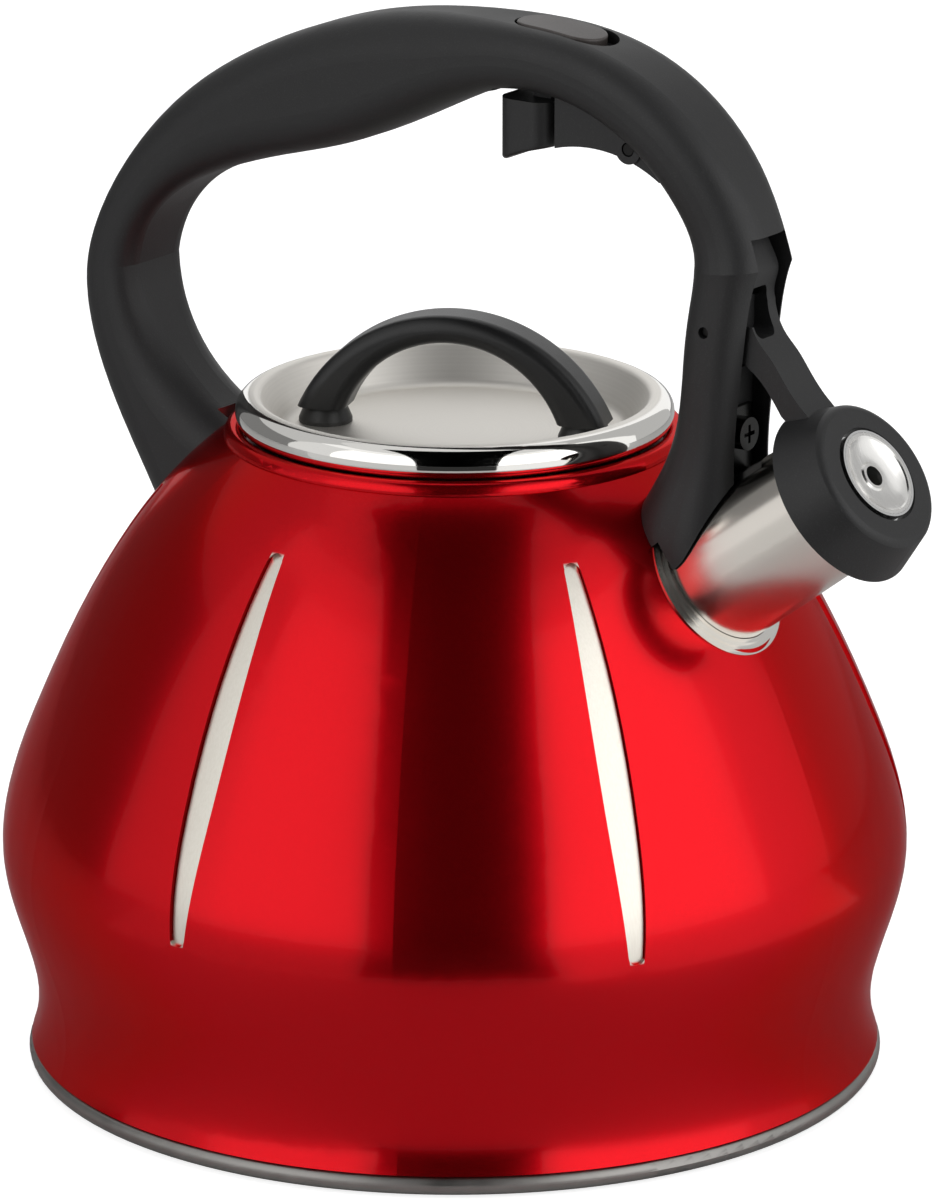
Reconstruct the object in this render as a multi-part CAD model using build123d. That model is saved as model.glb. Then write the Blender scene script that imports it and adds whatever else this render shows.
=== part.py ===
"""Stovetop whistling kettle, millimetres, +Z up, spout toward +X, origin under the centre of the base."""
from build123d import *
from math import asin, atan2, cos, degrees, hypot, radians, sin
import os

os.makedirs("parts", exist_ok=True)

# ---------------------------------------------------------------- fits
running_gap = 0.05      # radial gap of a part that turns on a pin
seat_gap = 0.05         # gap between parts fixed to each other
free_gap = 0.4          # gap between parts that pass each other

# ---------------------------------------------------------------- vessel
foot_radius = 94.5
foot_height = 4.8
waist_radius = 92.8
waist_height = 16.0
belly_radius = 100.0
belly_height = 46.0
flank_radius = 92.4
flank_height = 80.0
shoulder_radius = 75.4
shoulder_height = 114.0
collar_line_radius = 63.7
collar_line_height = 130.0
neck_seat_radius = 49.8
neck_seat_height = 142.4
shell_wall = 0.8

bead_radius = 48.3      # rolled bead round the mouth
bead_height = 142.6
bead_tube = 2.2
mouth_radius = 46.1

flute_angles = (32.0, 90.5, 149.0)  # degrees from the spout, on either side
slice_bounds = (0.0, 62.0, 121.0, 180.0)  # joins of the wall slices, one flute in each
flute_bottom = 53.5
flute_middle = 91.0
flute_top = 128.0
flute_end_half_width = 1.9
flute_mid_half_width = 3.6
flute_depth = 1.0
flute_sector = 14.0     # degrees of wall worked on round one flute

# ---------------------------------------------------------------- base
rim_radius = 92.9
rim_height = 2.5
rim_tube = 2.2
pan_thickness = 0.8
pan_floor_top = 4.7
pan_wall_top = 12.0
core_radius = 80.0
core_bottom = 0.6
base_cap_wall = 0.6

# ---------------------------------------------------------------- spout
spout_tip_x = 109.58    # front face of the whistle on the spout axis
spout_tip_z = 151.08
spout_rise = 36.5       # degrees above level
spout_root = -54.0      # stations along the spout axis, from the tip
spout_mouth = -6.0
spout_root_radius = 15.2
spout_mouth_radius = 14.5
spout_wall = 0.8
collar_radius = 18.4
collar_back = -54.0
collar_front = -49.0
collar_step = 1.1

# ---------------------------------------------------------------- spout cap and whistle
cap_face = -0.6
cap_face_radius = 16.4
cap_back = -11.3
cap_back_radius = 20.1
cap_edge_round = 1.2
cap_front_wall = 2.2
cap_bore_radius = 15.0
cap_bore_depth = 2.6
cap_skirt_inner_radius = 17.7
cap_window_radius = 10.9
whistle_radius = 10.1
whistle_sheet = 0.5
whistle_cup_depth = 7.5
whistle_flange_radius = 13.0
whistle_hole_radius = 2.3
whistle_ring_radius = 14.9
whistle_ring_width = 1.3

# ---------------------------------------------------------------- lid
rolled_rim_radius = 44.0
rolled_rim_height = 147.6
rolled_rim_tube = 4.0
crest_curve_radius = 2.0
floor_curve_radius = 3.0
dish_floor = 143.0
dish_flat_radius = 35.5
dish_sheet = 0.8
skirt_radius = 45.5
skirt_bottom = 132.0
skirt_wall = 0.8
skirt_flange_inner = 24.0
lid_turn = 20.0         # the lid sits turned by this angle

knob_foot_height = 147.0
knob_rise = 22.5        # top of the arch above its feet
knob_inner_rise = 16.3
knob_outer_span = 34.8
knob_inner_span = 23.9
knob_width = 12.0
knob_edge_round = 2.9
knob_foot_reach = 29.4
knob_collar_top_radius = 4.8
knob_collar_base_radius = 5.9
knob_screw_radius = 2.0
knob_screw_length = 10.5
knob_bore_depth = 4.5
screw_head_radius = 3.6
screw_head_height = 2.2
washer_radius = 4.6
washer_thickness = 0.8

# ---------------------------------------------------------------- handle
grip_half_width = 12.0
front_leg_half_width = 11.0
front_foot_half_width = 13.0
grip_corner = 9.0
channel_half_width = 6.4
channel_top = 198.4
channel_step = 168.0
channel_back = 66.3     # behind the lever
channel_web = 73.4      # behind the front bracket
cheek_half_width = 7.5
cheek_start = 31.4
slot_half_width = 2.9

# ---------------------------------------------------------------- trigger
trigger_pin_x = 50.6
trigger_pin_z = 214.1
trigger_pin_radius = 1.5
trigger_hub_radius = 2.6
trigger_pull = 5.0      # degrees
trigger_half_width = 2.5
pad_half_width = 8.0
pad_back = 16.0
pad_front = 29.5
pad_bottom_back = 206.4
pad_bottom_middle = 209.5
pad_bottom_front = 211.2
pad_corner = 4.5
pad_top = 221.0
pocket_back = 14.6
pocket_front = 31.2
pocket_ceiling = 229.6

# ---------------------------------------------------------------- lever
lever_pin_x = 72.1
lever_pin_z = 178.0
lever_pin_radius = 1.2
lever_half_width = 5.2
lever_hub_radius = 3.6
lever_slot_half_width = 2.9
window_back = 76.3
window_near = 4.6
window_far = 2.2
window_bottom = 176.6
window_top = 187.2
window_corner = 1.7
spring_coil_radius = 2.6
spring_wire_radius = 0.3
spring_pitch = 0.7
spring_turns = 2
spring_start_y = 2.0
spring_pocket_radius = 4.0
spring_pocket_floor = 1.5

# ---------------------------------------------------------------- lock button
lock_x = 27.9
lock_floor_z = 233.4
lock_tilt = 5.0
lock_length = 21.2
lock_width = 11.6
lock_lift = 0.3         # its top above the handle, whose shape it follows
lock_edge_round = 0.5
lock_travel = 2.5
lock_side_gap = 0.5
stem_back = 17.8
stem_front = 20.4
stem_half_width = 2.0
toe_bottom = 225.8
toe_top = 227.2
toe_reach = 22.0
clip_drop = 0.3         # top of the clip under the pocket ceiling
clip_thickness = 0.6
post_back = 22.4
post_front = 27.0
post_top = 225.2

# ---------------------------------------------------------------- brackets and screws
bracket_sheet = 1.2
bracket_half_width = 4.6
bracket_top = 160.0
bracket_toe_x = 83.0
front_screw_z = 154.3
rear_block_back = -74.0
rear_block_front = -63.0
rear_block_half_width = 5.0
rear_block_bottom = 116.0
rear_block_top = 139.0
rear_block_gap = 0.15
rear_screw_z = 133.0
rear_screw_head_x = -79.5
rear_screw_tip_x = -65.0


def turn(face, plane):
    """Solid of revolution of a face drawn in (along, out) coordinates of a plane."""
    return revolve(plane * face, Axis(plane.origin, plane.x_dir), 360)


def lathe(*points):
    """Solid of revolution about Z from (radius, height) corners."""
    return revolve(Plane.XZ * make_face(Polyline(*points, close=True)), Axis.Z, 360)


def rod(x, z, radius, y_min, y_max):
    """Cylinder along Y."""
    middle = (y_min + y_max) / 2
    return Pos(x, middle, z) * Rot(90, 0, 0) * Cylinder(radius, y_max - y_min)


def bar(x_min, x_max, y, z, radius):
    """Cylinder along X."""
    return Pos((x_min + x_max) / 2, y, z) * Rot(0, 90, 0) * Cylinder(radius, x_max - x_min)


def block(x_min, x_max, half_width, z_min, z_max):
    """Box centred on Y = 0."""
    centre = Pos((x_min + x_max) / 2, 0, (z_min + z_max) / 2)
    return centre * Box(x_max - x_min, 2 * half_width, z_max - z_min)


def plate(outline, half_width):
    """Slab centred on Y = 0 from a closed outline given as (x, z)."""
    return extrude(Plane.XZ * make_face(outline), half_width, both=True)


def ring(plane, near, far, inner, outer):
    """Tube along the x axis of a plane."""
    section = Polyline((near, inner), (far, inner), (far, outer), (near, outer), close=True)
    return turn(make_face(section), plane)


def disc(plane, near, far, radius):
    """Solid cylinder along the x axis of a plane."""
    return turn(make_face(Polyline((near, 0), (far, 0), (far, radius), (near, radius), close=True)), plane)


# ---------------------------------------------------------------- vessel shapes
def body_line():
    return Spline(
        (foot_radius, foot_height),
        (waist_radius, waist_height),
        (belly_radius, belly_height),
        (flank_radius, flank_height),
        (shoulder_radius, shoulder_height),
        (collar_line_radius, collar_line_height),
        (neck_seat_radius, neck_seat_height),
    )


def inset(depth, samples=24):
    """Body line moved inward by a depth (outward when negative)."""
    line = body_line()
    points = []
    for i in range(samples + 1):
        spot = line @ (i / samples)
        along = line % (i / samples)
        points.append((spot.X - depth * along.Y, spot.Y + depth * along.X))
    return Spline(*points)


def filled_face(line, below=0.0):
    """Half section under a body line, carried straight down by a length below its foot."""
    low = line @ 0
    high = line @ 1
    floor = low.Y - below
    corners = [high, (0, high.Y), (0, floor)]
    if below > 0:
        corners.append((low.X, floor))
    corners.append(low)
    return make_face(line + Polyline(*corners))


def filled(line):
    """Body of revolution under a body line."""
    return revolve(Plane.XZ * filled_face(line), Axis.Z, 360)


def flute_bar(grow):
    """Lens shaped bar that crosses the wall along +X."""
    end = flute_end_half_width + grow
    middle = flute_mid_half_width + grow
    left = ThreePointArc((-end, flute_bottom), (-middle, flute_middle), (-end, flute_top))
    top = ThreePointArc((-end, flute_top), (0, flute_top + end), (end, flute_top))
    right = ThreePointArc((end, flute_top), (middle, flute_middle), (end, flute_bottom))
    bottom = ThreePointArc((end, flute_bottom), (0, flute_bottom - end), (-end, flute_bottom))
    plane = Plane((mouth_radius, 0, 0), x_dir=(0, 1, 0), z_dir=(1, 0, 0))
    return extrude(plane * make_face(left + top + right + bottom), belly_radius)


def sector(near_depth, far_depth):
    """Slice of wall astride +X between two depths below the outside."""
    near = inset(near_depth)
    far = inset(far_depth)
    face = make_face(near + Line(near @ 1, far @ 1) + far + Line(far @ 0, near @ 0))
    return Rot(0, 0, -flute_sector / 2) * revolve(Plane.XZ * face, Axis.Z, flute_sector)


def wedge(face, start, end):
    """Slice of a body of revolution between two angles from +X."""
    return Rot(0, 0, start) * revolve(Plane.XZ * face, Axis.Z, end - start)


def shell_slice(start, end):
    """Slice of wall between two angles, with one flute pressed in along +X."""
    outer_flute = sector(-1, flute_depth) & flute_bar(0)
    inner_flute = sector(shell_wall - 1, shell_wall + flute_depth) & flute_bar(shell_wall)
    outside = wedge(filled_face(body_line()), start, end) - outer_flute
    inside = wedge(filled_face(inset(shell_wall), below=3), start - 1, end + 1) - inner_flute
    return outside - inside


def make_body_shell(spout):
    slices = []
    for flute, start, end in zip(flute_angles, slice_bounds, slice_bounds[1:]):
        slices.append(Rot(0, 0, flute) * shell_slice(start - flute, end - flute))
        slices.append(Rot(0, 0, -flute) * shell_slice(flute - end, flute - start))
    shell = Part() + slices
    bead = Pos(0, 0, bead_height) * Torus(bead_radius, bead_tube)
    mouth = Pos(0, 0, bead_height) * Cylinder(mouth_radius, 20)
    spout_hole = disc(spout, spout_root - 10, collar_front, spout_root_radius + seat_gap)
    return shell - mouth + bead - spout_hole


def make_bottom_pan():
    wall = waist_radius - shell_wall - 2 * seat_gap
    floor_bottom = pan_floor_top - pan_thickness
    pan = lathe(
        (0, floor_bottom),
        (rim_radius, floor_bottom),
        (rim_radius, pan_floor_top - 0.2),
        (wall, pan_floor_top - 0.2),
        (wall, pan_wall_top),
        (wall - pan_thickness, pan_wall_top),
        (wall - pan_thickness, pan_floor_top),
        (0, pan_floor_top),
    )
    rim = Pos(0, 0, rim_height) * Torus(rim_radius, rim_tube)
    return pan + rim


def make_base_core_disc():
    return lathe(
        (0, core_bottom + seat_gap),
        (core_radius, core_bottom + seat_gap),
        (core_radius, pan_floor_top - pan_thickness - seat_gap),
        (0, pan_floor_top - pan_thickness - seat_gap),
    )


def make_base_cap():
    outer = core_radius + seat_gap + base_cap_wall
    top = pan_floor_top - pan_thickness - seat_gap
    cup = lathe(
        (0, 0),
        (outer - 1, 0),
        (outer, 1),
        (outer, top),
        (core_radius + seat_gap, top),
        (core_radius + seat_gap, core_bottom),
        (0, core_bottom),
    )
    return cup


# ---------------------------------------------------------------- spout shapes
def tube_radius(station):
    share = (station - spout_root) / (spout_mouth - spout_root)
    return spout_root_radius + share * (spout_mouth_radius - spout_root_radius)


def cone(plane, near, far, near_radius, far_radius):
    section = Polyline((near, 0), (far, 0), (far, far_radius), (near, near_radius), close=True)
    return turn(make_face(section), plane)


def make_spout_tube(spout):
    outer = cone(spout, spout_root, spout_mouth, spout_root_radius, spout_mouth_radius)
    root_bore = spout_root_radius - spout_wall
    mouth_bore = spout_mouth_radius - spout_wall
    bore = cone(spout, spout_root - 1, spout_mouth + 1, root_bore, mouth_bore)
    return outer - bore


def make_spout_collar(spout, skin):
    inner = spout_root_radius + seat_gap
    step_one = collar_radius - collar_step
    step_two = step_one - collar_step
    profile = make_face(
        Polyline(
            (collar_back, inner),
            (collar_front, inner),
            (collar_front, step_two),
            (collar_front - 0.7, step_two),
            (collar_front - 0.7, step_one),
            (collar_front - 1.4, step_one),
            (collar_front - 1.4, collar_radius),
            (collar_back, collar_radius),
            close=True,
        )
    )
    return turn(profile, spout) - skin


def cap_solid(spout):
    corner = cap_edge_round
    slope = (cap_back_radius - cap_face_radius) / (cap_face - cap_back)
    face_end = Line((cap_face, 0), (cap_face, cap_face_radius - corner))
    edge = ThreePointArc(
        (cap_face, cap_face_radius - corner),
        (cap_face - 0.3 * corner, cap_face_radius - 0.3 * corner),
        (cap_face - corner, cap_face_radius + slope * corner),
    )
    side = Polyline(
        (cap_face - corner, cap_face_radius + slope * corner),
        (cap_back, cap_back_radius),
        (cap_back, 0),
        (cap_face, 0),
    )
    return turn(make_face(face_end + edge + side), spout)


def cap_cavity(spout):
    front = cap_face - cap_front_wall
    step = front - cap_bore_depth
    return turn(
        make_face(
            Polyline(
                (front, 0),
                (front, cap_bore_radius),
                (step, cap_bore_radius),
                (step - 1, cap_bore_radius + 1),
                (cap_back - 1, cap_skirt_inner_radius),
                (cap_back - 1, 0),
                close=True,
            )
        ),
        spout,
    )


def whistle_flange_face():
    return cap_face - cap_front_wall - seat_gap


def make_whistle_cup(spout):
    front = -0.2
    flange = whistle_flange_face()
    tube = ring(spout, front - whistle_cup_depth, front, whistle_radius - whistle_sheet, whistle_radius)
    lip = ring(spout, flange - whistle_sheet, flange, whistle_radius - whistle_sheet, whistle_flange_radius)
    back = front - whistle_cup_depth
    floor = ring(spout, back, back + whistle_sheet, 8.0, whistle_radius)
    return tube + lip + floor


def dish_line(depth):
    """Concave face of the whistle between its rim and the lip of its hole."""
    lip = whistle_hole_radius + 1.1
    return ThreePointArc((-0.5 - depth, 8.5), (-1.5 - depth, 6.2), (-1.9 - depth, lip))


def make_whistle_front_plate(spout):
    radius = whistle_radius - whistle_sheet - seat_gap
    face = dish_line(0)
    back = dish_line(whistle_sheet)
    lip = Polyline(face @ 1, (-1.5, whistle_hole_radius + 0.7), (-1.5, whistle_hole_radius))
    bore = Polyline((-1.5, whistle_hole_radius), (-1.9 - whistle_sheet, whistle_hole_radius), back @ 1)
    rim = Polyline(back @ 0, (-0.2 - whistle_sheet, 8.8), (-0.2 - whistle_sheet, radius))
    edge = Polyline((-0.2 - whistle_sheet, radius), (-0.2, radius), (-0.2, 8.8), face @ 0)
    return turn(make_face(face + lip + bore + back + rim + edge), spout)


def make_whistle_back_plate(spout):
    back = -0.2 - whistle_cup_depth + whistle_sheet + seat_gap
    radius = whistle_radius - whistle_sheet - seat_gap
    return ring(spout, back, back + whistle_sheet, whistle_hole_radius, radius)


def make_whistle_retaining_ring(spout):
    front = whistle_flange_face() - whistle_sheet - seat_gap
    return ring(spout, front - whistle_ring_width, front, whistle_radius + 0.6, whistle_ring_radius)


# ---------------------------------------------------------------- lid shapes
def dish_edge(depth):
    """Floor curve, slope, crest and rolled rim of the lid, a depth below the visible face."""
    low = (dish_flat_radius, dish_floor + floor_curve_radius)
    crest = (rolled_rim_radius, rolled_rim_height + rolled_rim_tube - crest_curve_radius)
    run = crest[0] - low[0]
    rise = crest[1] - low[1]
    lean = asin((floor_curve_radius + crest_curve_radius) / hypot(run, rise))
    slope = degrees(atan2(rise, run) + lean)
    floor_arc = CenterArc(low, floor_curve_radius + depth, -90, slope)
    crest_arc = CenterArc(crest, crest_curve_radius - depth, 90 + slope, -slope)
    rim_arc = CenterArc((rolled_rim_radius, rolled_rim_height), rolled_rim_tube - depth, 90, -180)
    return floor_arc + Line(floor_arc @ 1, crest_arc @ 0) + crest_arc + rim_arc


def make_lid_shell():
    under = dish_floor - dish_sheet
    rim_end = rolled_rim_height - rolled_rim_tube
    outline = (
        Line((0, dish_floor), (dish_flat_radius, dish_floor))
        + dish_edge(0)
        + Line((rolled_rim_radius, rim_end), (rolled_rim_radius, rim_end + dish_sheet))
        + dish_edge(dish_sheet)
        + Polyline((dish_flat_radius, under), (0, under), (0, dish_floor))
    )
    return revolve(Plane.XZ * make_face(outline), Axis.Z, 360) - knob_bolt_holes(knob_screw_radius + seat_gap)


def knob_bolt_holes(radius):
    holes = Pos(knob_foot_reach, 0, dish_floor) * Cylinder(radius, 12)
    holes += Pos(-knob_foot_reach, 0, dish_floor) * Cylinder(radius, 12)
    return Rot(0, 0, lid_turn) * holes


def make_lid_skirt():
    top = dish_floor - dish_sheet - seat_gap
    cup = lathe(
        (skirt_flange_inner, top),
        (36.0, top),
        (37.0, top - 0.6),
        (skirt_radius, top - 0.6),
        (skirt_radius, skirt_bottom),
        (skirt_radius - skirt_wall, skirt_bottom),
        (skirt_radius - skirt_wall, top - 0.6 - skirt_wall),
        (36.6, top - 0.6 - skirt_wall),
        (35.6, top - skirt_wall),
        (skirt_flange_inner, top - skirt_wall),
    )
    return cup - knob_bolt_holes(knob_screw_radius + seat_gap)


def make_lid_knob():
    foot = knob_foot_height
    outer = ThreePointArc((-knob_outer_span, foot), (0, foot + knob_rise), (knob_outer_span, foot))
    inner = ThreePointArc((knob_inner_span, foot), (0, foot + knob_inner_rise), (-knob_inner_span, foot))
    right = Line((knob_outer_span, foot), (knob_inner_span, foot))
    left = Line((-knob_inner_span, foot), (-knob_outer_span, foot))
    strap = plate(outer + right + inner + left, knob_width / 2)
    long_edges = strap.edges().filter_by(GeomType.CIRCLE)
    strap = fillet(long_edges, knob_edge_round)
    strap = Rot(0, 0, lid_turn) * strap
    bore = Cylinder(knob_screw_radius + seat_gap, 2 * knob_bore_depth)
    for side in (-1, 1):
        strap -= Rot(0, 0, lid_turn) * Pos(side * knob_foot_reach, 0, foot) * bore
    return strap


def knob_pair(shape):
    """The same fastener under both knob feet."""
    pair = [Rot(0, 0, lid_turn) * Pos(side * knob_foot_reach, 0, 0) * shape for side in (-1, 1)]
    return Compound(children=pair)


def make_knob_collars():
    top = knob_foot_height - seat_gap
    bottom = dish_floor + seat_gap
    bore = knob_screw_radius + seat_gap
    return knob_pair(
        lathe(
            (bore, bottom),
            (knob_collar_base_radius, bottom),
            (knob_collar_base_radius, bottom + 0.8),
            (knob_collar_top_radius, top - 0.5),
            (knob_collar_top_radius, top),
            (bore, top),
        )
    )


def knob_washer_top():
    return dish_floor - dish_sheet - skirt_wall - 2 * seat_gap


def make_knob_washers():
    top = knob_washer_top()
    bottom = top - washer_thickness
    bore = knob_screw_radius + seat_gap
    return knob_pair(lathe((bore, bottom), (washer_radius, bottom), (washer_radius, top), (bore, top)))


def make_knob_screws():
    seat = knob_washer_top() - washer_thickness - seat_gap
    shank = lathe(
        (0, seat - screw_head_height),
        (screw_head_radius - 0.8, seat - screw_head_height),
        (screw_head_radius, seat - screw_head_height + 0.8),
        (screw_head_radius, seat),
        (knob_screw_radius, seat),
        (knob_screw_radius, seat + knob_screw_length),
        (0, seat + knob_screw_length),
    )
    recess = Pos(0, 0, seat - screw_head_height) * (Box(0.9, 4, 1.8) + Box(4, 0.9, 1.8))
    return knob_pair(shank - recess)


# ---------------------------------------------------------------- handle shapes
def slab(x, z, lean, half_depth, half_width=grip_half_width):
    """Rounded section of the handle; lean is the direction from the inside to the outside, in degrees."""
    out = (cos(radians(lean)), 0, sin(radians(lean)))
    along = (sin(radians(lean)), 0, -cos(radians(lean)))
    corner = min(grip_corner, 0.85 * half_depth)
    return Plane((x, 0, z), x_dir=out, z_dir=along) * RectangleRounded(2 * half_depth, 2 * half_width, corner)


def handle_blank():
    rear_crease = slab(-88.5, 169, -174, 6.7)
    front_crease = slab(74.8, 191, 6, 8.6, front_leg_half_width)
    rear_leg = loft(
        [
            slab(-61.0, 121.5, -133, 17.5, 13.0),
            slab(-69.2, 128.8, -133, 13.4, 12.6),
            slab(-80.4, 142.5, -141, 10.2),
            slab(-87.4, 158.5, -162, 7.7),
            rear_crease,
        ]
    )
    arch = loft(
        [
            rear_crease,
            slab(-85.6, 178.8, 171, 6.3),
            slab(-76.8, 191.6, 152, 7.2),
            slab(-63.0, 202.8, 128, 9.9),
            slab(-43.6, 212.2, 106, 12.5),
            slab(-26.0, 218.3, 98, 13.5),
            slab(-3.4, 225.4, 93, 11.0),
            slab(16.6, 229.6, 87, 7.4),
            slab(36.0, 228.6, 78, 6.7),
            slab(54.5, 220.8, 61, 7.1),
            slab(68.0, 207.5, 32, 7.7, front_leg_half_width),
            front_crease,
        ]
    )
    front_leg = loft(
        [
            front_crease,
            slab(72.5, 178.0, 2, 7.6, front_leg_half_width),
            slab(71.3, 166.0, 2, 7.4, front_leg_half_width),
            slab(70.2, 156.0, 2, 7.6, front_leg_half_width),
            slab(67.6, 143.0, 0, 10.2, 12.4),
            slab(67.0, 120.0, 0, 10.5, front_foot_half_width),
        ]
    )
    return rear_leg + arch + front_leg


def cheek_outline():
    lower = ThreePointArc((cheek_start, 211.7), (45.5, 212.6), (58.3, 207.8))
    upper = Polyline(
        (58.3, 207.8),
        (63.0, 212.0),
        (55.0, 219.0),
        (44.0, 222.5),
        (cheek_start, 225.0),
        (cheek_start, 211.7),
    )
    return lower + upper


def trigger_slot():
    """Clear way for the trigger blade, hub and nose, at rest and pulled."""
    way = Polyline(
        (24.0, 200.0),
        (57.0, 200.0),
        (62.0, 205.0),
        (64.0, channel_top - 3.0),
        (76.0, channel_top - 3.0),
        (74.0, 203.5),
        (67.0, 213.0),
        (56.0, 218.6),
        (46.0, 218.6),
        (40.0, 223.0),
        (24.0, 223.0),
        close=True,
    )
    return plate(way, slot_half_width)


def lock_plane():
    tilt = radians(lock_tilt)
    return Plane((lock_x, 0, lock_floor_z), x_dir=(cos(tilt), 0, -sin(tilt)), z_dir=(sin(tilt), 0, cos(tilt)))


def oval(length, width):
    return SlotOverall(length, width)


def make_handle(spout):
    handle = handle_blank() + plate(cheek_outline(), cheek_half_width)
    for side in (-1, 1):
        face = side * cheek_half_width
        boss = rod(trigger_pin_x, trigger_pin_z, trigger_pin_radius + 1.7, face - 0.6, face + 0.6)
        handle += boss
    handle -= filled(inset(-seat_gap))
    handle -= lathe((0, 60), (bead_radius + bead_tube + 1, 60), (bead_radius + bead_tube + 1, 160), (0, 160))
    handle -= disc(spout, -75, spout_mouth, spout_root_radius + 0.3)
    handle -= disc(spout, collar_back - 20, collar_front + 0.3, collar_radius + 0.3)
    handle -= block(channel_back, 100, channel_half_width, channel_step, channel_top)
    handle -= block(channel_web, 100, channel_half_width, 118, channel_step + 1)
    handle -= trigger_slot()
    pocket = block(pocket_back, pocket_front, pad_half_width + 0.6, 212, pocket_ceiling)
    pocket = fillet(pocket.edges().filter_by(Axis.Z), 2.0)
    handle -= pocket
    pin_reach = cheek_half_width + 0.6
    handle -= rod(trigger_pin_x, trigger_pin_z, trigger_pin_radius + seat_gap, -pin_reach - 4, pin_reach + 4)
    across = grip_half_width + 1
    handle -= rod(lever_pin_x, lever_pin_z, lever_pin_radius + seat_gap, -across, across)
    recess = oval(lock_length + 2 * lock_side_gap + lock_travel, lock_width + 2 * lock_side_gap)
    handle -= lock_plane() * Pos(lock_travel / 2, 0, 0) * extrude(recess, 8)
    stem_end = stem_front + lock_travel + free_gap
    handle -= block(stem_back - free_gap, stem_end, stem_half_width + free_gap, 226, 240)
    handle -= block(
        rear_block_back - rear_block_gap,
        rear_block_front + 6,
        rear_block_half_width + rear_block_gap,
        rear_block_bottom - 6,
        rear_block_top + rear_block_gap,
    )
    handle -= bar(-100, rear_screw_head_x + seat_gap, 0, rear_screw_z, screw_head_radius + free_gap)
    handle -= bar(rear_screw_head_x - 1, rear_block_back + 1, 0, rear_screw_z, knob_screw_radius + 0.1)
    handle -= bar(62.5, channel_web + 1, 0, front_screw_z, knob_screw_radius + seat_gap)
    return handle


# ---------------------------------------------------------------- brackets, screws, pins
def make_front_bracket(spout, tube_skin):
    back = channel_web + seat_gap
    tab = block(back, back + bracket_sheet, bracket_half_width, 140, bracket_top)
    strip = cone(spout, spout_root, spout_mouth, spout_root_radius + bracket_sheet, spout_mouth_radius + bracket_sheet)
    strip &= block(back, bracket_toe_x, bracket_half_width, 140, bracket_top)
    hole = bar(back - 2, back + 4, 0, front_screw_z, knob_screw_radius + seat_gap)
    return tab + strip - tube_skin - hole


def make_screw(x_seat, x_tip, z, direction):
    """Pan head screw along X; direction is the way its point faces."""
    head_end = x_seat - direction * screw_head_height
    screw = bar(min(x_seat, x_tip), max(x_seat, x_tip), 0, z, knob_screw_radius)
    head = bar(min(x_seat, head_end), max(x_seat, head_end), 0, z, screw_head_radius)
    slots = Pos(head_end, 0, z) * (Box(1.8, 0.9, 4) + Box(1.8, 4, 0.9))
    return screw + head - slots


def make_rear_bracket():
    body = block(rear_block_back, rear_block_front, rear_block_half_width, rear_block_bottom, rear_block_top)
    hole = bar(rear_block_back - 1, rear_block_front + 1, 0, rear_screw_z, knob_screw_radius + seat_gap)
    return body - filled(inset(-seat_gap)) - hole


def make_pin(x, z, radius, reach):
    pin = rod(x, z, radius, -reach, reach)
    return chamfer(pin.edges(), 0.25)


# ---------------------------------------------------------------- trigger
def trigger_nose():
    return Polyline(
        (50.6, 217.7),
        (57.0, 216.4),
        (66.0, 210.6),
        (71.2, 200.5),
        (73.0, 194.0),
        (74.3, 189.5),
        (74.3, 188.6),
        (73.7, 188.0),
        (72.3, 188.0),
        (72.3, 190.6),
        (70.6, 194.6),
        (68.8, 198.5),
        (64.4, 206.6),
        (57.0, 210.6),
        (50.6, 211.5),
        close=True,
    )


def trigger_blade():
    return Polyline(
        (27.0, 212.2),
        (50.6, 211.5),
        (50.6, 217.7),
        (44.0, 217.7),
        (36.0, 219.2),
        (27.0, 219.6),
        close=True,
    )


def about_trigger_pin(shape, angle):
    centre = Pos(trigger_pin_x, 0, trigger_pin_z)
    return centre * Rot(0, angle, 0) * centre.inverse() * shape


def lock_shift(shape):
    tilt = radians(lock_tilt)
    return Pos(lock_travel * cos(tilt), 0, -lock_travel * sin(tilt)) * shape


def lock_toe(gap=0.0):
    return block(stem_back - gap, toe_reach + gap, stem_half_width + gap, toe_bottom - gap, toe_top + gap)


def make_trigger():
    low_corner = (pad_back, pad_bottom_back)
    high_corner = (pad_front, pad_bottom_front)
    underside = ThreePointArc(low_corner, ((pad_back + pad_front) / 2, pad_bottom_middle), high_corner)
    sides = Polyline(high_corner, (pad_front, pad_top), (pad_back, pad_top), low_corner)
    pad = plate(underside + sides, pad_half_width)
    pad = fillet(pad.edges().filter_by(Axis.Z), pad_corner)
    pad = fillet(pad.faces().sort_by(Axis.Z)[0].edges(), 0.8)
    trigger = pad + plate(trigger_blade(), trigger_half_width) + plate(trigger_nose(), trigger_half_width)
    trigger += rod(trigger_pin_x, trigger_pin_z, trigger_hub_radius, -trigger_half_width, trigger_half_width)
    trigger += block(post_back, post_front, trigger_half_width, pad_top - 2, post_top)
    trigger -= about_trigger_pin(lock_shift(lock_toe(0.35)), -trigger_pull)
    hole = trigger_pin_radius + running_gap
    trigger -= rod(trigger_pin_x, trigger_pin_z, hole, -pad_half_width, pad_half_width)
    return trigger


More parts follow.
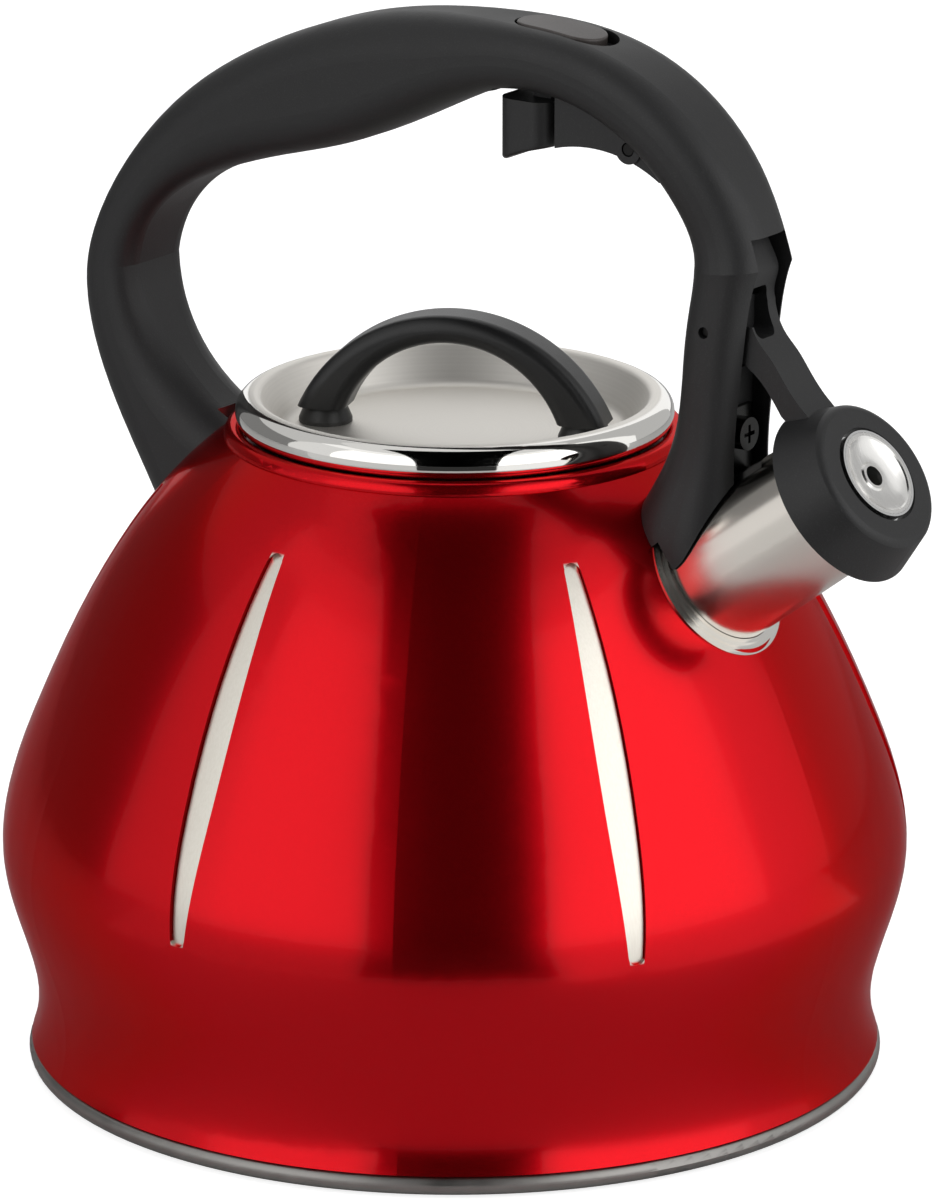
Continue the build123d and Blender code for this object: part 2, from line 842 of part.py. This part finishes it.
# ---------------------------------------------------------------- lever
def lever_outline():
    head = Spline((77.2, 197.2), (78.4, 194.9), (79.5, 192.9), (80.3, 190.5), (79.6, 187.0), (79.6, 183.6))
    arm = Spline((79.6, 183.6), (80.2, 180.4), (82.1, 176.6), (85.6, 172.8), (88.7, 168.7), (92.7, 164.0))
    tip = Polyline((92.7, 164.0), (96.0, 161.0), (91.0, 158.8), (88.2, 161.0))
    back = Spline((88.2, 161.0), (85.2, 165.2), (82.6, 168.1), (79.4, 170.5), (72.1, lever_pin_z - lever_hub_radius))
    hub = ThreePointArc(
        (lever_pin_x, lever_pin_z - lever_hub_radius),
        (lever_pin_x - lever_hub_radius, lever_pin_z),
        (70.6, lever_pin_z + 3.3),
    )
    rear = Polyline((70.6, lever_pin_z + 3.3), (70.6, 189.0), (71.2, 189.4), (75.6, 197.2), (77.2, 197.2))
    return head + arm + tip + back + hub + rear


def lever_hollow():
    """Space in the lever head that the trigger nose works in."""
    return Polyline(
        (70.0, 200.0),
        (70.0, 189.6),
        (71.9, 189.6),
        (71.9, 185.3),
        (72.7, 184.5),
        (77.0, 184.5),
        (78.0, 185.5),
        (78.0, 190.5),
        (77.0, 194.0),
        (76.1, 196.6),
        (76.1, 200.0),
        close=True,
    )


def lever_window():
    """Opening in the front of the lever under its head, past the hub; a rib stays on the far side."""
    front = 90.0
    centre_x = (window_back + front) / 2
    height = window_top - window_bottom
    middle = (window_bottom + window_top) / 2
    width = window_far + window_near
    opening = Pos(centre_x, (window_far - window_near) / 2, middle) * Box(front - window_back, width, height)
    opening = fillet(opening.edges().filter_by(Axis.X), window_corner)
    side_bottom = window_bottom + 2.6
    side_height = window_top - side_bottom
    side = Pos(centre_x, -lever_half_width, (side_bottom + window_top) / 2)
    return opening + side * Box(front - window_back, 2 * lever_half_width, side_height)


def make_spout_cap_lever(spout):
    lever = plate(lever_outline(), lever_half_width) + cap_solid(spout)
    lever -= cap_cavity(spout)
    lever -= disc(spout, cap_face - cap_front_wall - 1, 30, cap_window_radius)
    lever -= plate(lever_hollow(), lever_slot_half_width)
    lever -= lever_window()
    lever -= rod(lever_pin_x, lever_pin_z, lever_pin_radius + running_gap, -8, 8)
    lever -= rod(lever_pin_x, lever_pin_z, spring_pocket_radius, spring_pocket_floor, lever_half_width + 1)
    return lever


def make_lever_spring():
    coil_path = Helix(spring_pitch, spring_pitch * spring_turns, spring_coil_radius)
    start = Plane(coil_path @ 0, z_dir=coil_path % 0)
    coil = sweep(start * Circle(spring_wire_radius), path=coil_path)
    wire = spring_wire_radius
    lead = Pos(spring_coil_radius, -1.2, 0) * Rot(90, 0, 0) * Cylinder(wire, 2.4)
    tail_length = 5.5
    tail_height = spring_pitch * spring_turns
    tail = Pos(spring_coil_radius, tail_length / 2, tail_height) * Rot(90, 0, 0) * Cylinder(wire, tail_length)
    spring = coil + lead + tail
    return Pos(lever_pin_x, spring_start_y, lever_pin_z) * Rot(-90, 0, 0) * Rot(0, 0, 90) * spring


# ---------------------------------------------------------------- lock button
def make_lock_slider():
    """Button whose top follows the handle, with its stem and toe."""
    button = lock_plane() * Pos(0, 0, 0.1) * extrude(oval(lock_length, lock_width), 8)
    button &= Pos(0, 0, lock_lift) * handle_blank()
    button = fillet(button.faces().sort_by(Axis.Z)[-1].edges(), lock_edge_round)
    stem = block(stem_back, stem_front, stem_half_width, toe_bottom, lock_floor_z + 1.2)
    return button + stem + lock_toe()


def make_lock_clip():
    clip_top = pocket_ceiling - clip_drop
    outer = block(stem_back - 0.9, stem_front + 0.6, 4.5, clip_top - clip_thickness, clip_top)
    grow = seat_gap
    inner = block(stem_back - grow, stem_front + grow, stem_half_width + grow, clip_top - 2, clip_top + 2)
    return outer - inner


# ---------------------------------------------------------------- build
def main():
    rise = radians(spout_rise)
    spout = Plane((spout_tip_x, 0, spout_tip_z), x_dir=(cos(rise), 0, sin(rise)), z_dir=(0, 1, 0))
    skin = filled(inset(-seat_gap))
    tube_skin = cone(
        spout,
        spout_root - 1,
        spout_mouth,
        spout_root_radius + seat_gap,
        spout_mouth_radius + seat_gap,
    )
    front_seat = channel_web + seat_gap + bracket_sheet + seat_gap
    pieces = {
        "body_shell": make_body_shell(spout),
        "bottom_pan": make_bottom_pan(),
        "base_core_disc": make_base_core_disc(),
        "base_cap": make_base_cap(),
        "spout_tube": make_spout_tube(spout),
        "spout_collar": make_spout_collar(spout, skin),
        "front_bracket": make_front_bracket(spout, tube_skin),
        "rear_bracket": make_rear_bracket(),
        "front_handle_screw": make_screw(front_seat, 63.5, front_screw_z, -1),
        "rear_handle_screw": make_screw(rear_screw_head_x, rear_screw_tip_x, rear_screw_z, 1),
        "handle": make_handle(spout),
        "trigger": make_trigger(),
        "trigger_pin": make_pin(trigger_pin_x, trigger_pin_z, trigger_pin_radius, cheek_half_width + 0.4),
        "spout_cap_lever": make_spout_cap_lever(spout),
        "lever_pin": make_pin(lever_pin_x, lever_pin_z, lever_pin_radius, front_leg_half_width - 1.2),
        "lever_spring": make_lever_spring(),
        "whistle_front_plate": make_whistle_front_plate(spout),
        "whistle_cup": make_whistle_cup(spout),
        "whistle_back_plate": make_whistle_back_plate(spout),
        "whistle_retaining_ring": make_whistle_retaining_ring(spout),
        "lock_slider": make_lock_slider(),
        "lock_clip": make_lock_clip(),
        "lid_shell": make_lid_shell(),
        "lid_skirt": make_lid_skirt(),
        "lid_knob": make_lid_knob(),
        "knob_collars": make_knob_collars(),
        "knob_washers": make_knob_washers(),
        "knob_screws": make_knob_screws(),
    }
    for name, shape in pieces.items():
        export_step(shape, f"parts/{name}.step")


main()
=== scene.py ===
import math
import bpy
from mathutils import Matrix, Vector


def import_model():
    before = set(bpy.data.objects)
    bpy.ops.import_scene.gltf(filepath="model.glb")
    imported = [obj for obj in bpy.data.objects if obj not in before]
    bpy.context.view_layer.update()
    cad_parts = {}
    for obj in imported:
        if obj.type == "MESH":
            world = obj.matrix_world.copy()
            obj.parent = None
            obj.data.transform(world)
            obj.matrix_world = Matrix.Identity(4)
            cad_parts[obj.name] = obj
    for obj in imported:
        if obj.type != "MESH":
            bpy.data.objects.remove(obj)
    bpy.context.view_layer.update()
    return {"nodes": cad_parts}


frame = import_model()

NODES = frame["nodes"]


# ---------------------------------------------------------------- node helpers
class Shader:
    """A material with one Principled shader and short helpers for its nodes."""

    def __init__(self, name, **sockets):
        self.material = bpy.data.materials.new(name)
        self.material.use_nodes = True
        self.tree = self.material.node_tree
        self.bsdf = self.tree.nodes["Principled BSDF"]
        for key, value in sockets.items():
            self.put(key.replace("_", " "), value)

    def put(self, socket, value):
        if isinstance(value, tuple) and len(value) == 3:
            value = value + (1.0,)
        self.bsdf.inputs[socket].default_value = value

    def node(self, kind, **settings):
        node = self.tree.nodes.new(kind)
        for key, value in settings.items():
            setattr(node, key, value)
        return node

    def wire(self, source, target):
        self.tree.links.new(source, target)

    def place(self):
        return self.node("ShaderNodeTexCoord").outputs["Object"]

    def scaled(self, scale, source=None):
        mapping = self.node("ShaderNodeMapping")
        mapping.inputs["Scale"].default_value = scale
        self.wire(source or self.place(), mapping.inputs["Vector"])
        return mapping.outputs["Vector"]

    def noise(self, scale, detail=2.0, rough=0.5, source=None, stretch=(1, 1, 1)):
        noise = self.node("ShaderNodeTexNoise")
        noise.inputs["Scale"].default_value = scale
        noise.inputs["Detail"].default_value = detail
        noise.inputs["Roughness"].default_value = rough
        self.wire(self.scaled(stretch, source), noise.inputs["Vector"])
        return noise.outputs["Fac"]

    def math(self, operation, a, b=None, c=None):
        node = self.node("ShaderNodeMath", operation=operation)
        for index, value in enumerate((a, b, c)):
            if value is None:
                continue
            if isinstance(value, (int, float)):
                node.inputs[index].default_value = value
            else:
                self.wire(value, node.inputs[index])
        return node.outputs[0]

    def remap(self, value, low, high, to_low, to_high):
        node = self.node("ShaderNodeMapRange")
        self.wire(value, node.inputs["Value"])
        limits = {"From Min": low, "From Max": high, "To Min": to_low, "To Max": to_high}
        for name, number in limits.items():
            node.inputs[name].default_value = number
        return node.outputs["Result"]

    def blend(self, factor, one, two):
        node = self.node("ShaderNodeMix", data_type="RGBA")
        self.wire(factor, node.inputs[0])
        for socket, value in ((node.inputs[6], one), (node.inputs[7], two)):
            if isinstance(value, tuple):
                socket.default_value = value + (1.0,)
            else:
                self.wire(value, socket)
        return node.outputs[2]

    def colour(self, factor, one, two):
        self.wire(self.blend(factor, one, two), self.bsdf.inputs["Base Color"])

    def bump(self, height, distance):
        node = self.node("ShaderNodeBump")
        node.inputs["Strength"].default_value = 1.0
        node.inputs["Distance"].default_value = distance
        self.wire(height, node.inputs["Height"])
        self.wire(node.outputs["Normal"], self.bsdf.inputs["Normal"])

    def split(self, source=None):
        node = self.node("ShaderNodeSeparateXYZ")
        self.wire(source or self.place(), node.inputs["Vector"])
        return node.outputs[0], node.outputs[1], node.outputs[2]

    def radius(self, a, b):
        squares = [self.math("MULTIPLY", side, side) for side in (a, b)]
        return self.math("SQRT", self.math("ADD", *squares))


# ---------------------------------------------------------------- materials
FLUTES = (32.0, 90.5, 149.0)  # degrees from the spout, on either side
FLUTE_MIDDLE = 0.0908  # height of the middle of a flute, in metres
FLUTE_HALF_LENGTH = 0.0386
FLUTE_HALF_WIDTH = 0.0034  # at the middle
FLUTE_END_NARROWING = 0.0017  # how much less that is at the ends
DISH_EDGE = (0.0449, 0.0454)  # radii between which the satin dish turns into the mirror rim


def red_lacquer():
    """Candy red lacquer over bright steel, bare satin steel on the flute floors."""
    s = Shader("red_lacquer", Coat_Roughness=0.06, Coat_IOR=1.45, Specular_Tint=(0.75, 0.10, 0.12))
    x, y, z = s.split()
    angle = s.math("ABSOLUTE", s.math("DEGREES", s.math("ARCTAN2", y, x)))
    near, middle, far = (s.math("ABSOLUTE", s.math("SUBTRACT", angle, flute)) for flute in FLUTES)
    local = s.math("MINIMUM", s.math("MINIMUM", near, middle), far)
    out = s.radius(x, y)
    across = s.math("MULTIPLY", out, s.math("SINE", s.math("RADIANS", local)))
    along = s.math("DIVIDE", s.math("SUBTRACT", z, FLUTE_MIDDLE), FLUTE_HALF_LENGTH)
    bend = s.math("MULTIPLY", along, along)
    half = s.math("MULTIPLY_ADD", bend, -FLUTE_END_NARROWING, FLUTE_HALF_WIDTH)
    inside = s.remap(s.math("SUBTRACT", half, across), 0.0, 0.00012, 0.0, 1.0)
    ends = s.remap(s.math("ABSOLUTE", along), 1.0, 1.015, 1.0, 0.0)
    bare = s.math("MULTIPLY", inside, ends)
    cloud = s.noise(9.0, 3.0)
    fleck = s.noise(5200.0, 1.0)
    deep = s.blend(cloud, (0.56, 0.0030, 0.0075), (0.62, 0.0036, 0.0090))
    red = s.blend(s.remap(fleck, 0.35, 0.75, 0.0, 1.0), deep, (0.68, 0.0055, 0.012))
    brush = s.noise(60.0, 4.0, 0.6, stretch=(40.0, 40.0, 1.0))
    steel = s.blend(brush, (0.70, 0.66, 0.58), (0.84, 0.81, 0.74))
    s.colour(bare, red, steel)
    s.wire(s.math("MULTIPLY_ADD", bare, 0.14, 0.23), s.bsdf.inputs["Roughness"])
    s.wire(s.math("MULTIPLY_ADD", bare, 0.04, 0.96), s.bsdf.inputs["Metallic"])
    s.wire(s.math("MULTIPLY_ADD", bare, -0.18, 0.18), s.bsdf.inputs["Coat Weight"])
    s.bump(s.noise(28.0, 2.0), 0.00005)
    return s.material


def steel(name, dark, light, rough_low, rough_high, stretch=(1, 1, 1), scale=120.0, depth=0.000004):
    s = Shader(name, Metallic=1.0)
    grain = s.noise(scale, 4.0, 0.6, stretch=stretch)
    s.colour(grain, dark, light)
    s.wire(s.remap(grain, 0.3, 0.7, rough_low, rough_high), s.bsdf.inputs["Roughness"])
    s.bump(grain, depth)
    return s.material


def lid_steel():
    """Mirror rim round a satin dish with fine turning marks."""
    s = Shader("lid_steel", Metallic=1.0)
    x, y, z = s.split()
    out = s.radius(x, y)
    satin = s.remap(out, *DISH_EDGE, 1.0, 0.0)
    combine = s.node("ShaderNodeCombineXYZ")
    s.wire(out, combine.inputs[0])
    rings = s.noise(2600.0, 2.0, source=combine.outputs[0])
    tone = s.noise(14.0, 2.0)
    matt = s.blend(rings, (0.74, 0.715, 0.67), (0.84, 0.815, 0.77))
    bright = s.blend(tone, (0.84, 0.825, 0.79), (0.91, 0.895, 0.86))
    s.colour(satin, bright, matt)
    s.wire(s.math("MULTIPLY_ADD", satin, 0.44, 0.05), s.bsdf.inputs["Roughness"])
    s.bump(s.math("MULTIPLY", rings, satin), 0.000010)
    return s.material


def nylon(name, colour, lift, rough=0.5, grain_size=2600.0, depth=0.00003):
    s = Shader(name, Specular_IOR_Level=0.42)
    grain = s.noise(grain_size, 2.0, 0.6)
    patch = s.noise(45.0, 3.0)
    base = s.blend(patch, colour, tuple(c * lift for c in colour))
    speck = tuple(c * lift * 1.6 for c in colour)
    s.colour(s.remap(grain, 0.55, 0.75, 0.0, 1.0), base, speck)
    s.wire(s.remap(patch, 0.3, 0.7, rough - 0.05, rough + 0.05), s.bsdf.inputs["Roughness"])
    s.bump(grain, depth)
    return s.material


def dress():
    """Give every CAD node its material."""
    black = nylon("black_nylon", (0.0085, 0.0085, 0.0088), 1.4)
    knob = nylon("knob_nylon", (0.006, 0.006, 0.0062), 1.3, rough=0.36)
    mirror = steel("mirror_steel", (0.82, 0.82, 0.815), (0.9, 0.9, 0.895), 0.05, 0.08, scale=30.0)
    satin = steel("satin_steel", (0.52, 0.515, 0.50), (0.64, 0.635, 0.62), 0.28, 0.38, (1, 1, 30))
    tube = steel("spout_steel", (0.82, 0.775, 0.71), (0.90, 0.855, 0.79), 0.15, 0.19, (1, 1, 1), 30.0, 0.000001)
    dull = steel("plain_steel", (0.42, 0.42, 0.41), (0.55, 0.55, 0.54), 0.35, 0.5)
    # painted shade: steel darkened almost to black to stand for the shade inside the front leg's channel, used
    # on the front bracket and its screw
    channel_shade_steel = steel("steel_painted_channel_shade", (0.028, 0.028, 0.027), (0.06, 0.06, 0.058), 0.18, 0.26)
    pin = steel("blackened_steel", (0.018, 0.018, 0.018), (0.035, 0.034, 0.033), 0.4, 0.5)
    whistle = steel("whistle_steel", (0.74, 0.73, 0.71), (0.86, 0.85, 0.83), 0.2, 0.28, (1, 30, 1))
    finish = {
        "body_shell": red_lacquer(),
        "bottom_pan": steel("pan_steel", (0.24, 0.23, 0.22), (0.36, 0.35, 0.335), 0.3, 0.42),
        "base_core_disc": steel("aluminium", (0.6, 0.6, 0.61), (0.72, 0.72, 0.73), 0.4, 0.5),
        "base_cap": satin,
        "spout_tube": tube,
        "spout_collar": steel("collar_steel", (0.78, 0.76, 0.72), (0.88, 0.86, 0.82), 0.16, 0.22, scale=30.0),
        # painted shade: the front bracket and front screw get the steel darkened for the channel's shade
        "front_bracket": channel_shade_steel,
        "rear_bracket": dull,
        "front_handle_screw": channel_shade_steel,
        "rear_handle_screw": mirror,
        "handle": black,
        "trigger": black,
        "trigger_pin": pin,
        "spout_cap_lever": black,
        "lever_pin": pin,
        "lever_spring": dull,
        "whistle_front_plate": whistle,
        "whistle_cup": mirror,
        "whistle_back_plate": dull,
        "whistle_retaining_ring": black,
        "lock_slider": nylon("grey_button", (0.034, 0.029, 0.027), 1.25, rough=0.42),
        "lock_clip": dull,
        "lid_shell": lid_steel(),
        "lid_skirt": satin,
        "lid_knob": knob,
        "knob_collars": nylon("grey_collar", (0.016, 0.016, 0.015), 1.2, rough=0.4),
        "knob_washers": dull,
        "knob_screws": mirror,
    }
    for name, material in finish.items():
        node = NODES[name]
        node.data.materials.clear()
        node.data.materials.append(material)


# ---------------------------------------------------------------- studio
AZIMUTH = math.radians(35.5)
ELEVATION = math.radians(16.79)
DISTANCE = 1.65
AIM = Vector((0.0, 0.0, 0.1))


def outward(azimuth, elevation):
    """Unit direction from the object, azimuth counted from the front toward +X."""
    level = math.cos(elevation)
    return Vector((math.sin(azimuth) * level, -math.cos(azimuth) * level, math.sin(elevation)))


def softbox(name, azimuth, elevation, distance, width, height, watts):
    """Rectangular lamp that faces the object; azimuth is relative to the camera, in degrees."""
    light = bpy.data.lights.new(name, "AREA")
    light.shape = "RECTANGLE"
    light.size = width
    light.size_y = height
    light.energy = watts
    lamp = bpy.data.objects.new(name, light)
    way = outward(AZIMUTH + math.radians(azimuth), math.radians(elevation))
    lamp.location = AIM + way * distance
    lamp.rotation_euler = (-way).to_track_quat("-Z", "Y").to_euler()
    lamp.visible_glossy = False
    bpy.context.scene.collection.objects.link(lamp)


def card(name, points, faces, radiance):
    """Studio card that only reflections see."""
    mesh = bpy.data.meshes.new(name)
    mesh.from_pydata(points, [], faces)
    obj = bpy.data.objects.new(name, mesh)
    bpy.context.scene.collection.objects.link(obj)
    material = bpy.data.materials.new(name)
    material.use_nodes = True
    nodes = material.node_tree.nodes
    glow = nodes.new("ShaderNodeEmission")
    glow.inputs["Strength"].default_value = radiance
    material.node_tree.links.new(glow.outputs[0], nodes["Material Output"].inputs["Surface"])
    mesh.materials.append(material)
    obj.visible_camera = False
    obj.visible_diffuse = False
    obj.visible_shadow = False


def curved_card(name, left, right, low, high, radiance, distance=1.4, steps=12):
    """Card on a sphere round the object between two azimuths and two elevations, in degrees."""
    points = []
    for j in range(steps + 1):
        elevation = math.radians(low + (high - low) * j / steps)
        for i in range(steps + 1):
            azimuth = AZIMUTH + math.radians(left + (right - left) * i / steps)
            points.append(AIM + outward(azimuth, elevation) * distance)
    row = steps + 1
    corners = [j * row + i for j in range(steps) for i in range(steps)]
    faces = [(first, first + 1, first + row + 1, first + row) for first in corners]
    card(name, points, faces, radiance)


def arch_card(name, left, right, right_end, low, high, radiance, distance=1.3, steps=12):
    """Strip that bends over the object in the plane of the camera; its right edge runs to right_end."""
    aside = outward(AZIMUTH + math.pi / 2, 0.0)
    points = []
    for j in range(steps + 1):
        share = j / steps
        way = outward(AZIMUTH, math.radians(low + (high - low) * share))
        points.append(AIM + way * distance + aside * left)
        points.append(AIM + way * distance + aside * (right + (right_end - right) * share))
    faces = [(2 * j, 2 * j + 1, 2 * j + 3, 2 * j + 2) for j in range(steps)]
    card(name, points, faces, radiance)


def floor_card(name, left, right, near, far, radiance, steps=12):
    """Card lying on the floor between two azimuths and two distances from the axis."""
    points = []
    for i in range(steps + 1):
        way = outward(AZIMUTH + math.radians(left + (right - left) * i / steps), 0.0)
        for reach in (near, far):
            points.append(Vector((way.x * reach, way.y * reach, 0.001)))
    faces = [(2 * i, 2 * i + 1, 2 * i + 3, 2 * i + 2) for i in range(steps)]
    card(name, points, faces, radiance)


def floor():
    """Pale floor: to the camera it glows almost white, so that only the object's shadow darkens it."""
    mesh = bpy.data.meshes.new("floor")
    reach = 6.0
    corners = [(-reach, -reach, 0), (reach, -reach, 0), (reach, reach, 0), (-reach, reach, 0)]
    mesh.from_pydata(corners, [], [(0, 1, 2, 3)])
    obj = bpy.data.objects.new("floor", mesh)
    obj.location.z = -0.0002
    bpy.context.scene.collection.objects.link(obj)
    material = bpy.data.materials.new("floor")
    material.use_nodes = True
    tree = material.node_tree
    nodes = tree.nodes
    bsdf = nodes["Principled BSDF"]
    bsdf.inputs["Base Color"].default_value = (0.5, 0.5, 0.5, 1)
    bsdf.inputs["Roughness"].default_value = 0.6
    glow = nodes.new("ShaderNodeEmission")
    glow.inputs["Strength"].default_value = 0.8
    path = nodes.new("ShaderNodeLightPath")
    mix = nodes.new("ShaderNodeMixShader")
    both = nodes.new("ShaderNodeAddShader")
    tree.links.new(bsdf.outputs[0], both.inputs[0])
    tree.links.new(glow.outputs[0], both.inputs[1])
    tree.links.new(path.outputs["Is Camera Ray"], mix.inputs[0])
    tree.links.new(bsdf.outputs[0], mix.inputs[1])
    tree.links.new(both.outputs[0], mix.inputs[2])
    tree.links.new(mix.outputs[0], nodes["Material Output"].inputs["Surface"])
    mesh.materials.append(material)


def world():
    """Plain studio: white to the camera and in reflections, grey as fill light."""
    scene_world = bpy.data.worlds.new("studio")
    bpy.context.scene.world = scene_world
    scene_world.use_nodes = True
    tree = scene_world.node_tree
    nodes = tree.nodes
    room = nodes["Background"]
    room.inputs["Color"].default_value = (0.55, 0.55, 0.56, 1)
    room.inputs["Strength"].default_value = 0.3
    white = nodes.new("ShaderNodeBackground")
    white.inputs["Strength"].default_value = 1.0
    white.inputs["Color"].default_value = (1, 1, 1, 1)
    path = nodes.new("ShaderNodeLightPath")
    mix = nodes.new("ShaderNodeMixShader")
    seen = path.outputs["Is Camera Ray"]
    for kind in ("Is Glossy Ray", "Is Transmission Ray"):
        either = nodes.new("ShaderNodeMath")
        either.operation = "MAXIMUM"
        tree.links.new(seen, either.inputs[0])
        tree.links.new(path.outputs[kind], either.inputs[1])
        seen = either.outputs[0]
    tree.links.new(seen, mix.inputs[0])
    tree.links.new(room.outputs[0], mix.inputs[1])
    tree.links.new(white.outputs[0], mix.inputs[2])
    tree.links.new(mix.outputs[0], nodes["World Output"].inputs["Surface"])


def camera():
    data = bpy.data.cameras.new("camera")
    data.sensor_fit = "VERTICAL"
    data.sensor_height = 36.0
    data.lens = 224.8
    data.shift_x = 0.0106
    data.shift_y = 0.0149
    data.clip_end = 50.0
    obj = bpy.data.objects.new("camera", data)
    way = outward(AZIMUTH, ELEVATION)
    obj.location = AIM + way * DISTANCE
    obj.rotation_euler = (-way).to_track_quat("-Z", "Y").to_euler()
    bpy.context.scene.collection.objects.link(obj)
    bpy.context.scene.camera = obj


def studio():
    softbox("left_box", -50.0, 20.0, 1.6, 1.0, 1.5, 13.0)
    softbox("right_box", 60.0, 20.0, 1.6, 0.9, 1.5, 14.0)
    softbox("top_box", 0.0, 78.0, 1.7, 1.2, 1.2, 8.0)
    softbox("back_box", 180.0, 30.0, 1.9, 1.6, 0.9, 6.0)
    arch_card("front_flag", -0.46, 0.56, 0.44, -6.0, 90.0, 0.0)
    floor_card("floor_flag", -19.0, 21.0, 0.26, 1.3, 0.03)
    floor_card("left_floor", -80.0, -19.0, 0.24, 1.3, 0.6)
    floor_card("right_floor", 21.0, 100.0, 0.22, 1.3, 0.95)
    curved_card("left_panel", -66.0, -14.0, -4.0, 46.0, 1.3)
    curved_card("right_panel", 14.0, 80.0, -4.0, 46.0, 1.65)
    curved_card("left_side", -94.0, -66.0, -4.0, 46.0, 0.75)
    curved_card("right_side", 80.0, 106.0, -4.0, 46.0, 1.0)
    curved_card("left_shade", -155.0, -94.0, -4.0, 28.0, 0.2)
    curved_card("left_dusk", -155.0, -94.0, 28.0, 60.0, 0.55)
    curved_card("right_shade", 106.0, 150.0, -4.0, 60.0, 0.5)
    curved_card("ceiling", -180.0, 180.0, 56.0, 90.0, 0.72, distance=1.5, steps=24)


dress()
floor()
world()
studio()
camera()
bpy.context.scene.view_settings.view_transform = "Standard"
